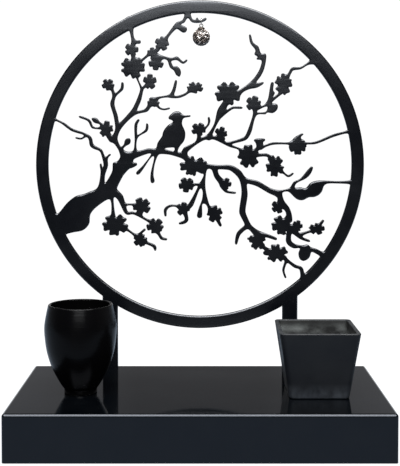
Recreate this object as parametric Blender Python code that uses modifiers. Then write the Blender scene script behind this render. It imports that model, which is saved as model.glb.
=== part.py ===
"""A cremation urn as a memorial set: a low black box that holds the ashes, a round screen
of blossoming boughs with a bird, cut from one plate, and a vase and a pot on the box.

Units are metres and +Z is up. The origin is the middle of the box's underside, X runs to
the right and Y to the back."""

import math

import bpy
import numpy as np
from mathutils import Vector

# Clearance between two pieces that touch.
FIT = 0.0003

# The box is folded from sheet. Its base plate lies inside the walls, against a ledge.
BOX_LENGTH = 0.400
BOX_DEPTH = 0.210
BOX_HEIGHT = 0.050
BOX_EDGE_RADIUS = 0.003
BOX_EDGE_SEGMENTS = 3
SHEET = 0.002
LEDGE_WIDTH = 0.016
BASE_PLATE_THICKNESS = 0.003
SCREW_HEAD_RADIUS = 0.0035
SCREW_SHANK_RADIUS = 0.0018
SCREW_HEAD_DEPTH = 0.0017
SCREW_HEAD_RIM = 0.0004
SCREW_LENGTH = 0.010
SCREW_STEPS = 10

# The screen is one flat plate: ring, boughs, bird and two posts let into the box's top.
RING_OUTER_RADIUS = 0.195
RING_BAND = 0.015
RING_ABOVE_BOX = 0.0485
POST_WIDTH = 0.0185
POST_SPACING = 0.2145
SCREEN_THICKNESS = 0.005
SCREEN_FROM_BACK = 0.0118

# The boughs are drawn in units of which the radius of the ring's hole has this many.
DRAWN_HOLE_RADIUS = 180.0
# Spacing of the points at which the drawing is measured, radius of the fillets at its
# forks, largest pinhole that the cutter burns away, and how closely the edge of the
# boughs and of the ring is followed.
DRAWN_STEP = 0.6
DRAWN_FILLET = 1.6
DRAWN_PINHOLE = 2.5
BOUGH_TOLERANCE = 0.46
RING_TOLERANCE = 0.15
# Boughs and flowers are cut this much fuller all round than their stations say.
DRAWN_MARGIN = 0.3
# A flower's heart, and the corners and middle of a petal's end: how far aside in degrees,
# how far out, and how wide, as shares of the flower's half width.
BLOSSOM_HEART = 0.80
PETAL = ((-16.0, 0.84, 0.30), (0.0, 0.72, 0.40), (16.0, 0.84, 0.30))

# The turned vase. Its side is drawn as shares of its height, and of the way from the
# radius of its foot to that of its belly.
VASE_FROM_LEFT = 0.070
VASE_FROM_FRONT = 0.0873
VASE_HEIGHT = 0.095
VASE_FOOT_RADIUS = 0.0179
VASE_BELLY_RADIUS = 0.0391
VASE_MOUTH_RADIUS = 0.0350
VASE_WALL = 0.003
VASE_STEPS = 24
VASE_SIDE = (
    (0.0, 0.0), (0.045, 0.0), (0.09, 0.14), (0.19, 0.40), (0.32, 0.67), (0.48, 0.88),
    (0.64, 0.98), (0.76, 1.0),
)
VASE_SHOULDER = 0.88

# The square pot, which widens towards its rim.
POT_FROM_RIGHT = 0.073
POT_FROM_FRONT = 0.089
POT_HEIGHT = 0.0702
POT_RIM_WIDTH = 0.0858
POT_FOOT_WIDTH = 0.0644
POT_CORNER_RADIUS = 0.006
POT_CORNER_SEGMENTS = 4
POT_WALL = 0.0042

# The charm: a ball set with stones, its cap and eye, and the ring of wire that holds it.
CHARM_BALL_RADIUS = 0.0105
CHARM_CAP_RADIUS = 0.0045
CHARM_CAP_HEIGHT = 0.0014
CHARM_EYE_RADIUS = 0.0015
CHARM_WIRE = 0.0009
# The twig that it hangs from, in the drawing's units.
CHARM_TWIG_X = 1.5
CHARM_TWIG_Z = 170.5
CHARM_TWIG_WIDTH = 2.5

UNIT = (RING_OUTER_RADIUS - RING_BAND) / DRAWN_HOLE_RADIUS
RING_CENTRE_Z = BOX_HEIGHT + RING_ABOVE_BOX + RING_OUTER_RADIUS
SCREEN_Y = BOX_DEPTH / 2 - SCREEN_FROM_BACK - SCREEN_THICKNESS / 2


def clear_scene():
    for obj in list(bpy.data.objects):
        bpy.data.objects.remove(obj, do_unlink=True)


def new_collection(name):
    collection = bpy.data.collections.new(name)
    bpy.context.scene.collection.children.link(collection)
    return collection


def material(name, colour, roughness, metallic=0.0):
    made = bpy.data.materials.new(name)
    made.use_nodes = True
    shader = made.node_tree.nodes["Principled BSDF"]
    shader.inputs["Base Color"].default_value = (*colour, 1.0)
    shader.inputs["Roughness"].default_value = roughness
    shader.inputs["Metallic"].default_value = metallic
    return made


def place(obj, name, collection, finish=None):
    """Name the object, give it its finish and leave it in this collection alone."""
    obj.name = name
    for holder in list(obj.users_collection):
        holder.objects.unlink(obj)
    collection.objects.link(obj)
    if finish:
        obj.data.materials.append(finish)
    return obj


def as_cutter(obj):
    obj.hide_render = True
    obj.display_type = "WIRE"
    return obj


def block(name, size, middle, collection, finish=None):
    bpy.ops.mesh.primitive_cube_add(size=1.0, location=middle)
    obj = bpy.context.object
    obj.scale = size
    bpy.ops.object.transform_apply(location=False, rotation=False, scale=True)
    return place(obj, name, collection, finish)


def combine(obj, other, operation):
    modifier = obj.modifiers.new(f"{operation.lower()} {other.name}", "BOOLEAN")
    modifier.operation = operation
    modifier.object = other
    modifier.solver = "EXACT"


def remove_faces(obj, facing):
    """Open the mesh where its faces look this way."""
    keep = [list(face.vertices) for face in obj.data.polygons if face.normal.dot(facing) < 0.9]
    points = [vertex.co.copy() for vertex in obj.data.vertices]
    finishes = list(obj.data.materials)
    mesh = bpy.data.meshes.new(obj.name)
    mesh.from_pydata(points, [], keep)
    for finish in finishes:
        mesh.materials.append(finish)
    obj.data = mesh


def bevel_upright_edges(obj, radius):
    """Round the upright edges of a block."""
    mark_edges(obj, lambda along: abs(along.z) > 0.9)
    add_bevel(obj, radius, BOX_EDGE_SEGMENTS)


def mark_edges(obj, chosen):
    """Give the edges that run along a chosen direction the weight for a bevel."""
    weights = obj.data.attributes.new("bevel_weight_edge", "FLOAT", "EDGE")
    for edge in obj.data.edges:
        start, end = (obj.data.vertices[index].co for index in edge.vertices)
        weights.data[edge.index].value = 1.0 if chosen((end - start).normalized()) else 0.0


def add_bevel(obj, radius, segments):
    modifier = obj.modifiers.new("rounded edges", "BEVEL")
    modifier.limit_method = "WEIGHT"
    modifier.width = radius
    modifier.segments = segments


def turned(name, profile, steps, collection, finish=None):
    """A solid of revolution about Z. The profile runs down its outer side."""
    mesh = bpy.data.meshes.new(name)
    edges = [(index, index + 1) for index in range(len(profile) - 1)]
    mesh.from_pydata([(radius, 0.0, height) for radius, height in profile], edges, [])
    obj = bpy.data.objects.new(name, mesh)
    screw = obj.modifiers.new("turned", "SCREW")
    screw.axis = "Z"
    screw.steps = steps
    screw.render_steps = steps
    screw.use_merge_vertices = True
    screw.merge_threshold = 0.00005
    screw.use_smooth_shade = True
    return place(obj, name, collection, finish)


# The box, its base plate and its screws.


def base_box(parts, cutters, finish):
    """Five sides of sheet with rounded edges, a ledge round the inside near the bottom,
    slots in the top for the posts' feet and holes in the ledge for the screws."""
    size = (BOX_LENGTH, BOX_DEPTH, BOX_HEIGHT)
    box = block("base_box", size, (0.0, 0.0, BOX_HEIGHT / 2), parts, finish)
    remove_faces(box, Vector((0.0, 0.0, -1.0)))
    mark_edges(box, lambda along: True)
    add_bevel(box, BOX_EDGE_RADIUS, BOX_EDGE_SEGMENTS)
    walls = box.modifiers.new("sheet", "SOLIDIFY")
    walls.thickness = SHEET
    walls.offset = -1.0
    walls.use_even_offset = True

    ledge_low = BASE_PLATE_THICKNESS + FIT
    ledge_size = (BOX_LENGTH - SHEET, BOX_DEPTH - SHEET, SHEET)
    ledge_middle = (0.0, 0.0, ledge_low + SHEET / 2)
    ledge = as_cutter(block("ledge", ledge_size, ledge_middle, cutters))
    bevel_upright_edges(ledge, BOX_EDGE_RADIUS - SHEET / 2)
    hand_hole_size = (
        BOX_LENGTH - 2 * (SHEET + LEDGE_WIDTH),
        BOX_DEPTH - 2 * (SHEET + LEDGE_WIDTH),
        3 * SHEET,
    )
    hand_hole = as_cutter(block("hand_hole", hand_hole_size, ledge_middle, cutters))
    combine(ledge, hand_hole, "DIFFERENCE")
    combine(box, ledge, "UNION")

    slot_size = (POST_WIDTH + 2 * FIT, SCREEN_THICKNESS + 2 * FIT, 3 * SHEET)
    for side, x in (("left", -POST_SPACING / 2), ("right", POST_SPACING / 2)):
        slot = block(f"slot_{side}", slot_size, (x, SCREEN_Y, BOX_HEIGHT), cutters)
        combine(box, as_cutter(slot), "DIFFERENCE")
    for number, (x, y) in enumerate(screw_places(), 1):
        hole = screw(f"ledge_hole_{number}", x, y, FIT, cutters)
        combine(box, as_cutter(hole), "DIFFERENCE")


def screw_places():
    x = BOX_LENGTH / 2 - SHEET - LEDGE_WIDTH / 2
    y = BOX_DEPTH / 2 - SHEET - LEDGE_WIDTH / 2
    return [(-x, -y), (x, -y), (x, y), (-x, y)]


def screw(name, x, y, clearance, collection, finish=None):
    """A countersunk screw, its head just inside the plate's underside and its point up.
    With a clearance it is the hole for that screw, open below."""
    head = SCREW_HEAD_RADIUS + clearance
    shank = SCREW_SHANK_RADIUS + clearance
    low = FIT - 2 * clearance
    high = SCREW_LENGTH + clearance
    profile = [
        (0.0, high),
        (shank / 2, high),
        (shank, high - SCREW_SHANK_RADIUS),
        (shank, FIT + SCREW_HEAD_RIM + SCREW_HEAD_DEPTH),
        (head, FIT + SCREW_HEAD_RIM),
        (head, low),
        (0.0, low),
    ]
    obj = turned(name, profile, SCREW_STEPS, collection, finish)
    obj.location = (x, y, 0.0)
    return obj


def base_plate(parts, cutters, finish, screw_finish):
    inner_length = BOX_LENGTH - 2 * (SHEET + FIT)
    inner_depth = BOX_DEPTH - 2 * (SHEET + FIT)
    plate_size = (inner_length, inner_depth, BASE_PLATE_THICKNESS)
    plate_middle = (0.0, 0.0, BASE_PLATE_THICKNESS / 2)
    plate = block("base_plate", plate_size, plate_middle, parts, finish)
    bevel_upright_edges(plate, max(BOX_EDGE_RADIUS - SHEET, FIT))
    for number, (x, y) in enumerate(screw_places(), 1):
        hole = screw(f"plate_hole_{number}", x, y, FIT, cutters)
        combine(plate, as_cutter(hole), "DIFFERENCE")
        screw(f"plate_screw_{number}", x, y, 0.0, parts, screw_finish)


# The drawing of the screen.


class Drawing:
    """The pierced plate as a field of distances from its edge, negative in the metal.
    It is measured on a square grid, in the drawing's units, from the ring's centre."""

    def __init__(self, reach, low):
        self.x = np.arange(-reach, reach, DRAWN_STEP)[:, None]
        self.z = np.arange(low, reach, DRAWN_STEP)[None, :]
        self.edge = np.full((self.x.shape[0], self.z.shape[1]), 1000.0)

    def window(self, stations):
        """The part of the grid that a shape through these stations can change."""
        margin = max(station[2] for station in stations) / 2 + 3 * DRAWN_FILLET
        spans = []
        for grid, values in ((self.x[:, 0], 0), (self.z[0], 1)):
            low = min(station[values] for station in stations) - margin
            high = max(station[values] for station in stations) + margin
            spans.append(slice(np.searchsorted(grid, low), np.searchsorted(grid, high)))
        return tuple(spans)

    def add(self, where, distance):
        """Join a shape to the plate, with a fillet where they meet."""
        old = self.edge[where]
        near = np.maximum(DRAWN_FILLET - np.abs(old - distance), 0.0) / DRAWN_FILLET
        self.edge[where] = np.minimum(old, distance) - near * near * DRAWN_FILLET / 4

    def bars(self, stations, links):
        """Join round-ended tapered bars to the plate. A station is x, z and width, and a
        link is the numbers of the two stations that a bar runs between."""
        where = self.window(stations)
        x, z = self.x[where[0]], self.z[:, where[1]]
        distance = np.full(self.edge[where].shape, 1000.0)
        for first, second in links:
            x1, z1, width1 = stations[first]
            x2, z2, width2 = stations[second]
            span = max((x2 - x1) ** 2 + (z2 - z1) ** 2, 1e-9)
            along = ((x - x1) * (x2 - x1) + (z - z1) * (z2 - z1)) / span
            along = np.clip(along, 0.0, 1.0)
            gap = np.hypot(x - x1 - along * (x2 - x1), z - z1 - along * (z2 - z1))
            distance = np.minimum(distance, gap - (width1 + along * (width2 - width1)) / 2)
        self.add(where, distance - DRAWN_MARGIN)

    def bough(self, *stations):
        """A limb or twig along a smooth line through these stations."""
        line = smooth(stations, 4)
        self.bars(line, [(index, index + 1) for index in range(len(line) - 1)])

    def blossom(self, x, z, wide, tall, turn=90.0, petals=5):
        """An open flower of blunt notched petals, the first one turned this far round. Seen
        aslant it is less wide or less tall than round."""
        size = min(wide, tall)
        stations = [(x, z, BLOSSOM_HEART * size)]
        for petal in range(petals):
            for aside, reach, width in PETAL:
                angle = math.radians(turn + 360.0 * petal / petals + aside)
                reach_x = reach * wide * math.cos(angle)
                reach_z = reach * tall * math.sin(angle)
                stations.append((x + reach_x, z + reach_z, width * size))
        self.bars(stations, [(0, index) for index in range(1, len(stations))])

    def bud(self, x, z, length, width, turn):
        """A closed flower: pointed at its tip, which points this way, with a small calyx."""
        along_x = math.cos(math.radians(turn))
        along_z = math.sin(math.radians(turn))
        shares = ((-0.5, 0.35), (-0.1, 1.0), (0.2, 0.85), (0.5, 0.2))
        stations = [(x + s * length * along_x, z + s * length * along_z, w * width) for s, w in shares]
        self.bough(*stations)

    def ring_and_posts(self):
        away = np.hypot(self.x, self.z)
        outer = RING_OUTER_RADIUS / UNIT
        self.edge = np.maximum(away - outer, DRAWN_HOLE_RADIUS - away)
        band_middle = outer - RING_BAND / UNIT / 2
        half_spacing = POST_SPACING / UNIT / 2
        top = -math.sqrt(band_middle**2 - half_spacing**2)
        foot = (BOX_HEIGHT - SHEET - RING_CENTRE_Z) / UNIT
        for middle in (-half_spacing, half_spacing):
            aside = np.abs(self.x - middle) - POST_WIDTH / UNIT / 2
            upright = np.abs(self.z - (top + foot) / 2) - (top - foot) / 2
            self.edge = np.minimum(self.edge, np.maximum(aside, upright))

    def outlines(self):
        """The plate's edges as closed loops: its outside, then each opening in it."""
        loops = [loop for loop in contours(self.edge) if abs(area(loop)) > DRAWN_PINHOLE]
        loops.sort(key=area)
        outside = loops[-1]
        openings = [loop for loop in loops if area(loop) < 0.0]
        origin = Vector((self.x[0, 0], self.z[0, 0]))
        drawn = []
        for loop in [outside, *openings]:
            places = [origin + Vector(point) * DRAWN_STEP for point in loop]
            drawn.append(without_idle_points(places))
        return drawn


def smooth(stations, steps):
    """A curve through the stations, by Catmull and Rom's rule."""
    ends = [stations[0], *stations, stations[-1]]
    line = []
    for index in range(1, len(ends) - 2):
        before, start, end, after = (np.array(ends[index + shift]) for shift in (-1, 0, 1, 2))
        for step in range(steps):
            t = step / steps
            bend = 2 * before - 5 * start + 4 * end - after
            twist = 3 * start - before - 3 * end + after
            line.append(tuple(start + 0.5 * t * (end - before + t * (bend + t * twist))))
    line.append(tuple(stations[-1]))
    return line


# For each way in which a cell's corners lie in the metal, the sides where the edge
# comes in and goes out, with the metal on its left. The corners count 1, 2, 4 and 8
# anticlockwise from the lower left.
CROSSINGS = {
    1: ["bl"], 2: ["rb"], 4: ["tr"], 8: ["lt"], 3: ["rl"], 6: ["tb"], 12: ["lr"], 9: ["bt"],
    7: ["tl"], 11: ["rt"], 13: ["br"], 14: ["lb"], 5: ["bl", "tr"], 10: ["rb", "lt"],
}


def contours(field):
    """The closed loops along which the field is zero, in grid steps. A cell's side is
    named by its first grid point and by whether it is upright."""
    metal = (field < 0.0).astype(int)
    kind = metal[:-1, :-1] + 2 * metal[1:, :-1] + 4 * metal[1:, 1:] + 8 * metal[:-1, 1:]
    onward = {}
    for i, j in np.argwhere((kind > 0) & (kind < 15)).tolist():
        below, above = (i, j, False), (i, j + 1, False)
        left, right = (i, j, True), (i + 1, j, True)
        sides = {"b": below, "t": above, "l": left, "r": right}
        for start, end in CROSSINGS[int(kind[i, j])]:
            onward[sides[start]] = sides[end]
    loops = []
    while onward:
        start, side = onward.popitem()
        loop = [crossing_point(field, start)]
        while side != start:
            loop.append(crossing_point(field, side))
            side = onward.pop(side)
        loops.append(loop)
    return loops


def crossing_point(field, side):
    i, j, upright = side
    near = field[i, j]
    far = field[i, j + 1] if upright else field[i + 1, j]
    share = min(max(near / (near - far), 0.02), 0.98)
    return (i, j + share) if upright else (i + share, j)


def area(loop):
    following = loop[1:] + loop[:1]
    return sum(x1 * z2 - x2 * z1 for (x1, z1), (x2, z2) in zip(loop, following)) / 2


def without_idle_points(loop):
    """The closed loop with only the points that its shape needs."""
    middle = max(range(len(loop)), key=lambda index: (loop[index] - loop[0]).length)
    halves = [loop[: middle + 1], loop[middle:] + loop[:1]]
    kept = []
    for half in halves:
        kept += needed_points(half)[:-1]
    return kept


def needed_points(line):
    """Keep the point farthest from the chord, and look again on each side of it. The
    ring's edges are followed more closely than the boughs'."""
    needed = {0, len(line) - 1}
    waiting = [(0, len(line) - 1)]
    points = np.array([tuple(point) for point in line])
    away = np.hypot(points[:, 0], points[:, 1])
    on_ring = away > DRAWN_HOLE_RADIUS - DRAWN_STEP / 2
    tolerance = np.where(on_ring, RING_TOLERANCE, BOUGH_TOLERANCE)
    while waiting:
        low, high = waiting.pop()
        if high - low < 2:
            continue
        chord = points[high] - points[low]
        span = max(float(np.hypot(*chord)), 1e-9)
        offset = points[low + 1 : high] - points[low]
        aside = np.abs(offset[:, 0] * chord[1] - offset[:, 1] * chord[0]) / span
        aside /= tolerance[low + 1 : high]
        farthest = int(aside.argmax())
        if aside[farthest] > 1.0:
            middle = low + 1 + farthest
            needed.add(middle)
            waiting += [(low, middle), (middle, high)]
    return [line[index] for index in sorted(needed)]


def draw_trunk(plate):
    """The old trunk grows in from the ring at the left, and its limbs rise from it."""
    plate.bough(
        (-173, -72, 14), (-164, -70.5, 24), (-157, -66, 29), (-149, -58, 31), (-142, -50, 28),
        (-136, -46.5, 24), (-131, -43, 21), (-124, -39, 18), (-112, -33, 17), (-103, -20, 14),
        (-97, -8, 14), (-89, 3, 17), (-84, 10, 12), (-73, 13.5, 7), (-60, 17, 5),
    )
    plate.bough((-157, -67, 27), (-147, -63.3, 32))
    plate.bough((-136, -42, 12), (-122, -33, 10))
    plate.bough((-99, -6, 8), (-100.5, 0.5, 6.5))
    plate.bough((-90, 12, 10), (-95.5, 20, 4), (-101.5, 31, 6.5), (-98, 40, 6), (-97.5, 46, 6))
    plate.bough((-82, -1, 5), (-77, 1, 4))
    # Two old shoots hook back along the trunk, and a long twig runs out to the ring.
    plate.bough(
        (-181, 57, 2.4), (-165, 51, 2.2), (-152, 42, 2.8), (-140, 38, 2.4), (-131, 32.5, 3.5),
        (-128, 23, 4), (-118, 17.5, 2.8), (-115, 10, 4), (-112, 0, 4.8), (-116, -12, 5.5),
        (-118, -30, 9),
    )
    plate.bough((-135, 35, 2), (-141, 31.5, 1.8), (-147, 32.5, 1.6))
    plate.bough((-112, 2, 3), (-110.5, 9, 2.5), (-107, 12.5, 1.6))
    plate.bough((-116, -8, 3), (-117.5, -3, 2), (-118, 1, 1.5))
    plate.blossom(-111.5, 42.5, 8.5, 10.5, 80)
    plate.bough((-111, 38, 4), (-105, 30, 6))
    plate.bough((-116, 44, 2), (-127, 44.5, 2), (-132, 53, 2.5), (-143, 57.5, 1.6))
    plate.bud(-124, 53, 9, 5.5, 150)
    plate.bough((-121, 51, 2), (-115, 47, 2))


def draw_upper_left(plate):
    plate.bough((-98, 44, 5), (-100, 58, 4.5), (-104, 72, 4.5), (-102, 82, 3.6), (-105, 92, 3))
    plate.bough((-102, 82, 3), (-93, 90, 3), (-92, 97, 2.5))
    plate.blossom(-109, 95.5, 7.5, 7, 56)
    plate.bough(
        (-96.5, 45, 6), (-89, 52.5, 6), (-81, 60.5, 6.5), (-75.5, 70, 5), (-72, 80, 5.5),
        (-68, 91, 2.8), (-62, 95, 2.4),
    )
    plate.bough((-69, 90, 2), (-72.5, 98, 2), (-76, 108, 2.5))
    plate.blossom(-79.5, 116, 15, 13.5, 72)
    plate.blossom(-81, 137, 8, 8.5, 72)
    plate.bough((-79, 133, 2.5), (-79, 123, 2.5))
    plate.bough((-84, 172, 7), (-80.5, 156, 4), (-79.5, 145, 2.8))
    plate.bough((-79, 149, 2.5), (-75, 146, 3.4), (-72.3, 146, 4.2))
    plate.blossom(-59.5, 99, 8, 9.5, 88)
    plate.bough((-80, 61, 4), (-70, 63.5, 2.8), (-63, 66, 4), (-58.5, 74, 4.4))
    plate.blossom(-55, 75, 7.5, 6, 48)
    plate.bough((-53, 73.5, 3), (-49, 68.5, 2.4), (-43, 66.2, 1.8), (-36.5, 67.5, 1.5))
    plate.bough(
        (-54, 79, 2.6), (-45, 80.7, 2.2), (-37, 82, 3), (-27, 80.8, 2.5), (-18, 84, 2.8),
        (-9, 89.5, 2.6),
    )
    plate.bough((-34, 82.5, 5), (-31, 89, 3.5), (-28.5, 100, 1.8))
    plate.blossom(-6, 92, 10.5, 7, 48)
    plate.bud(-86, 28, 7, 6.5, 60)
    plate.bough((-93, 20, 2.6), (-87, 26, 2.6))
    plate.bough((-78, 13, 4), (-76, 24, 3.5), (-76, 36, 2.6), (-76, 48, 3), (-73, 53.5, 2))
    plate.bough((-76, 33, 2), (-66, 39.5, 2.5), (-63, 43, 2.8), (-63, 48.5, 2))


def draw_top(plate):
    """Twigs hang from the top of the ring, one of them with the charm."""
    plate.bough((-70, 123, 2.5), (-64, 128.5, 2.6), (-57, 133.5, 3.5))
    plate.blossom(-55.5, 134, 7, 5.5, 104)
    plate.blossom(-52, 121.5, 9, 9, 48)
    plate.blossom(-45, 144, 8.5, 8.5, 80)
    plate.bough(
        (-41, 149, 3.5), (-31, 161, 4), (-27, 167.5, 3), (-20, 170, 3.2), (-16, 177, 4.8),
        (-14, 188, 9),
    )
    plate.bough((-28, 164.5, 4), (-23.5, 163, 6.5), (-19.3, 160.8, 7.4))
    plate.bough(
        (-14, 181, 4.5), (-11, 173, 3), (-7, 170.3, 3),
        (CHARM_TWIG_X, CHARM_TWIG_Z, CHARM_TWIG_WIDTH), (6.5, 173, 2.4),
    )
    plate.bough((-3.3, 171, 3), (-3.3, 173.6, 1.6))
    plate.bough(
        (-53, 131, 3.5), (-41, 127, 3), (-33, 125.5, 3), (-27, 126.5, 3.8), (-20, 121.5, 2.3),
        (-15.8, 124.3, 1.5),
    )
    plate.bough((-37, 125.5, 3.5), (-34, 117, 3.6), (-29, 113.5, 3.5))
    plate.bud(-26.5, 111, 11, 7, 290)


def draw_bird(plate):
    """A small bird sits on the bough, facing right, with its long tail below it."""
    plate.bough(
        (-27.2, 56.8, 14), (-26, 49, 9), (-29, 42, 19), (-31, 35, 26.5), (-35.5, 31, 20),
        (-46.2, 24, 9),
    )
    plate.bough((-25, 58.5, 7), (-19.5, 57.6, 3), (-11.8, 58.4, 1.3))
    plate.bough((-30, 58, 8), (-35, 56.2, 4.4))
    plate.bough(
        (-46, 25, 7), (-51, 16, 6), (-58, 11, 2.6), (-63, 4.5, 2), (-68, -2.5, 2), (-74, -9.5, 3.6),
    )
    plate.bough((-50, 16, 4.4), (-54.3, 5, 2.4), (-57, -10, 2.8), (-56.5, -19, 4.5))
    plate.bough((-26, 25, 5), (-29.5, 14, 2.8))


def draw_middle(plate):
    plate.bough(
        (-60, 17, 5), (-45, 16, 6), (-38, 15.5, 5.4), (-30, 13.5, 5), (-20, 12, 7.5), (-17, 18, 6.5),
        (-6, 25.5, 3.5), (3, 31, 4.2), (12, 33.3, 3.6), (22, 30, 4.5), (31, 25.5, 3.6), (40, 21.5, 3),
        (52, 18, 2.6),
    )
    plate.bough((-20, 12, 7), (-12, 4, 6))
    plate.blossom(-1.5, 42.5, 9, 8, 64)
    plate.bough((-1, 40, 3.5), (-2, 30, 5))
    plate.bough((1, 44, 2.6), (8, 45.5, 2), (11, 52, 2.2), (10.3, 56.5, 1.6))
    plate.bough(
        (10.5, 33, 7), (14, 41, 4.6), (18, 47, 3.6), (20.5, 54, 5), (25, 64, 8.5), (29, 72, 8),
    )
    plate.bough((23, 57, 4), (31, 63, 3.4), (39, 68, 2.5), (49.5, 68, 1.8))
    plate.blossom(25, 37, 7.5, 9, 75)
    plate.blossom(33.5, 85, 16.5, 14.5, 55)
    # A longer limb climbs from the largest flower.
    plate.bough((44, 85, 4), (57, 93, 5), (66, 101.5, 5), (73, 113, 4.6), (75.5, 124, 4.8), (76, 130, 4.4))
    plate.bough(
        (75, 128, 4.6), (70, 131, 4.6), (67, 139, 4.6), (62, 143.5, 3), (60, 149, 2.6), (59, 154, 1.6),
    )
    plate.bough((71, 130, 4), (66, 132, 2.8))
    plate.bough((73, 127, 3.6), (68.5, 126.2, 2.6))
    plate.bough((55, 91.5, 3), (67, 94.5, 5), (74.5, 97.5, 1.8))


def draw_right(plate):
    plate.bough((33, 25.5, 3), (45, 29, 3.5), (55, 33, 4), (61, 47, 5), (65, 60, 4), (65, 69, 4))
    plate.blossom(63.5, 73, 9, 9.5, 72)
    plate.bough((66, 65.5, 2.4), (77, 70.5, 2.4), (80.5, 73, 4.6), (89, 80, 3), (96, 85, 3))
    plate.bough((82, 75, 4), (84.3, 86, 4), (85.7, 97, 2.8))
    plate.bough((84, 82, 4), (87.3, 86, 2.6))
    plate.blossom(99, 96, 10.5, 13.5, 80)
    plate.bough((104, 103, 2.8), (109, 113.5, 3.4), (119, 115, 2.3), (127, 120, 3), (138, 124, 8))
    plate.bud(86, 67.5, 12, 10, 35)
    plate.bough((82, 73, 4), (84, 69, 5))
    plate.bough((64, 61, 2.2), (72, 61.2, 2.4), (77.3, 62.2, 3.2))
    plate.blossom(58, 10.5, 13.5, 14.5, 95)
    plate.bough((71, 22, 8), (70.5, 27, 8.5))
    plate.bough((65.8, 29.3, 3.2), (75.7, 29.8, 3.2))
    plate.bough((66, 18, 2.6), (72, 20.5, 2.6), (86, 25.5, 2.6), (98, 25.5, 2.7), (112, 26, 3))
    plate.blossom(116, 22.5, 10.5, 10.5, 56)
    plate.bough((112, 27, 4), (115, 32, 4), (121.5, 36.5, 2))
    plate.bough((122, 26, 2.6), (137, 26.5, 2.5), (149, 31.5, 2.4), (163, 36.5, 3), (182, 41, 3.4))
    plate.bough((66, 11, 3), (79, 12, 3.6), (88, 6, 4))
    plate.blossom(89, -1, 11, 13.5, 48)
    plate.bough((96, -6, 2.5), (104.5, -13, 2.2), (110.5, -10, 1.6))


def draw_lower_middle(plate):
    plate.blossom(-7.5, -1, 18, 12, 40)
    plate.bough(
        (3, -1, 6), (22, -2.5, 4.7), (37, -3.5, 6), (48, -12, 7.5), (52, -22, 7), (53, -35, 7),
        (51, -50, 7.5), (51, -58, 7), (58, -73, 6),
    )
    plate.bough((57, -72, 5), (46, -82, 4.4), (43, -93.5, 2.2))
    plate.bough((59, -73, 4.4), (68, -79.5, 4), (80, -84.3, 4.2), (90.5, -88, 2.4))
    plate.bough(
        (6, -3, 3.6), (6, -12, 3), (3, -23, 6.5), (5, -30, 3.8), (6, -42, 7), (3, -43, 3),
        (1, -49, 3), (-0.5, -60, 6),
    )
    plate.bough((4, -23, 3), (-10, -23, 2.6))
    plate.bough((0, -24, 3), (-5.5, -36, 3.6), (-11, -47, 5.5), (-18, -54, 4))
    plate.bough((7, -42, 3.6), (12.5, -54, 3.4))
    plate.blossom(-16, -23.5, 9.5, 9, 48)
    plate.blossom(-20, -52.5, 8, 8.5, 80)
    plate.bough((-18, -56, 3.5), (-16, -65, 4), (-20, -68.5, 3), (-24.5, -69.5, 1.6))
    plate.bough((-24, -49, 2.2), (-35, -48.5, 2.3), (-41, -53, 3.3), (-41, -60, 2))
    plate.blossom(17.5, -58, 9.5, 10.5, 96)
    plate.bough((21, -65, 4), (24.3, -71.7, 2.8))
    plate.bough((17, -4, 7), (20, -13, 6), (27, -22, 7), (31, -31, 3), (42, -33, 1.6))
    plate.blossom(30, -22, 7.5, 7, 64)


def draw_lower_right(plate):
    plate.bough(
        (53, -18, 6), (68, -22, 6), (83, -30.5, 6), (94, -35, 8), (97, -43, 6), (105, -55, 6),
        (106, -66, 6),
    )
    plate.bough(
        (93, -32, 3), (103, -30, 2.2), (109, -28, 4), (113, -21, 3), (119, -18, 2.2),
        (126, -12.5, 5), (130.5, -7, 4.8), (132.8, -3, 2.4),
    )
    plate.bough(
        (105, -30, 2), (112, -31.5, 8), (120, -34.2, 15), (128, -33, 11), (136.3, -28.5, 17),
        (144, -22.5, 8), (151, -20.5, 3), (165, -20.5, 2.4), (183, -20.5, 5),
    )
    plate.blossom(93, -49.5, 8, 8, 72)
    plate.blossom(98, -71.5, 13.5, 12, 48)
    plate.blossom(116, -72.5, 6, 7, 72)
    plate.bough(
        (107, -76, 5), (105.5, -90, 6), (112, -96.5, 5), (122, -97.5, 3.2), (138, -102.5, 5),
        (154, -112, 7),
    )
    plate.bud(125, -105, 16, 14, 250)
    plate.bough((110, -79, 4.5), (120, -86.5, 3.4), (130, -90.5, 2))
    plate.bough((112, -79, 4), (119, -83, 4), (131, -79, 2.6))
    plate.blossom(139, -76, 10, 7, 80)
    plate.bough((140, -75, 4), (146.5, -66.5, 2.4))
    plate.blossom(68.5, -90, 10, 11.5, 96)
    plate.bough((58, -73, 4), (65, -82, 3))
    plate.bough((65, -88, 3.4), (57.5, -87.6, 2.4))
    plate.blossom(91, -105, 14.5, 11, 96)
    plate.bough((74, -97, 4), (82, -102, 4))
    plate.bough((84, -104, 6), (77.3, -104.8, 4))
    plate.bough((98, -109, 4), (113, -120.5, 3.5), (121, -124.5, 4), (123, -142, 6))
    plate.bough((103, -114, 3), (99.5, -125, 2.2), (102, -134, 1.6))


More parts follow.
